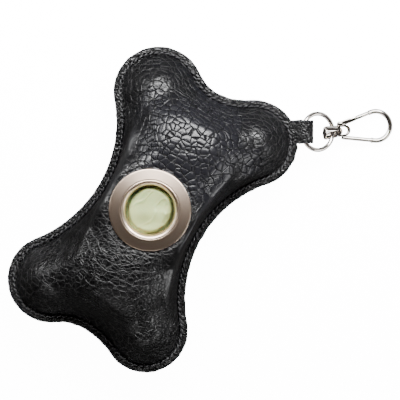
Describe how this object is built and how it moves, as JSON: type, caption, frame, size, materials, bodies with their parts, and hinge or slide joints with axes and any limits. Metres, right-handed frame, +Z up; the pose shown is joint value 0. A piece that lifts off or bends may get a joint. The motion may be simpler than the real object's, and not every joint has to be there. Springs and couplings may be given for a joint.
{
  "type": "waste bag dispenser",
  "caption": "Bone-shaped sewn leather pouch holding a roll of dog waste bags, with a round front eyelet, a refill flap behind and a ring with a swivel snap hook.",
  "frame": {"origin": "on the resting face of the back flap, straight under the centre of the eyelet", "axes": "+X along the bone towards the end with the tab, +Z up through the eyelet, out of the front of the pouch"},
  "size_m": [0.1347, 0.102, 0.0368],
  "materials": {
    "leather": "black pebbled leather, satin",
    "fastener_fabric": "woven touch fastener",
    "nickel": "satin nickel plating",
    "chrome": "polished plating",
    "card": "plain cardboard tube",
    "film": "thin soft film, pale green"
  },
  "bodies": {
    "pouch": {"front_panel": "leather", "back_panel": "leather", "loop_strip": "fastener_fabric", "eyelet_flange": "nickel", "eyelet_washer": "nickel", "tab_loop": "leather"},
    "flap": {"back_flap": "leather", "hook_strip": "fastener_fabric"},
    "roll": {"bag_roll": "film", "roll_core": "card"},
    "ring": {"o_ring": "chrome"},
    "eye": {"swivel_eye": "chrome"},
    "hook": {"hook_body": "chrome", "gate_pin": "chrome", "gate_spring": "chrome"},
    "gate": {"gate": "chrome"}
  },
  "joints": [
    {"name": "flap_open", "type": "hinge", "parent": "pouch", "child": "flap", "pos_m": [0, 0.0122, 0.00255], "axis": [1, 0, 0], "range_deg": [0, 110]},
    {"name": "roll_spin", "type": "hinge", "parent": "pouch", "child": "roll", "pos_m": [0, 0, 0.0185], "axis": [1, 0, 0], "continuous": true},
    {"name": "ring_swing", "type": "hinge", "parent": "pouch", "child": "ring", "pos_m": [0.05459, -0.03623, 0.011], "axis": [-0.8704, -0.4924, 0], "range_deg": [-12, 77]},
    {"name": "eye_swing", "type": "hinge", "parent": "ring", "child": "eye", "pos_m": [0.06, -0.0458, 0.00413], "axis": [-0.8704, -0.4924, 0], "range_deg": [-60, 60]},
    {"name": "swivel_spin", "type": "hinge", "parent": "eye", "child": "hook", "pos_m": [0.06, -0.0458, 0.00413], "axis": [0.6039, -0.7842, -0.1426], "continuous": true},
    {"name": "gate_swing", "type": "hinge", "parent": "hook", "child": "gate", "pos_m": [0.06402, -0.04683, 0.00366], "axis": [-0.087, 0.113, -0.9898], "range_deg": [0, 28], "stiffness_Nm_per_rad": 0.004, "springref_deg": -20.05, "deforming": ["gate_spring"]}
  ]
}
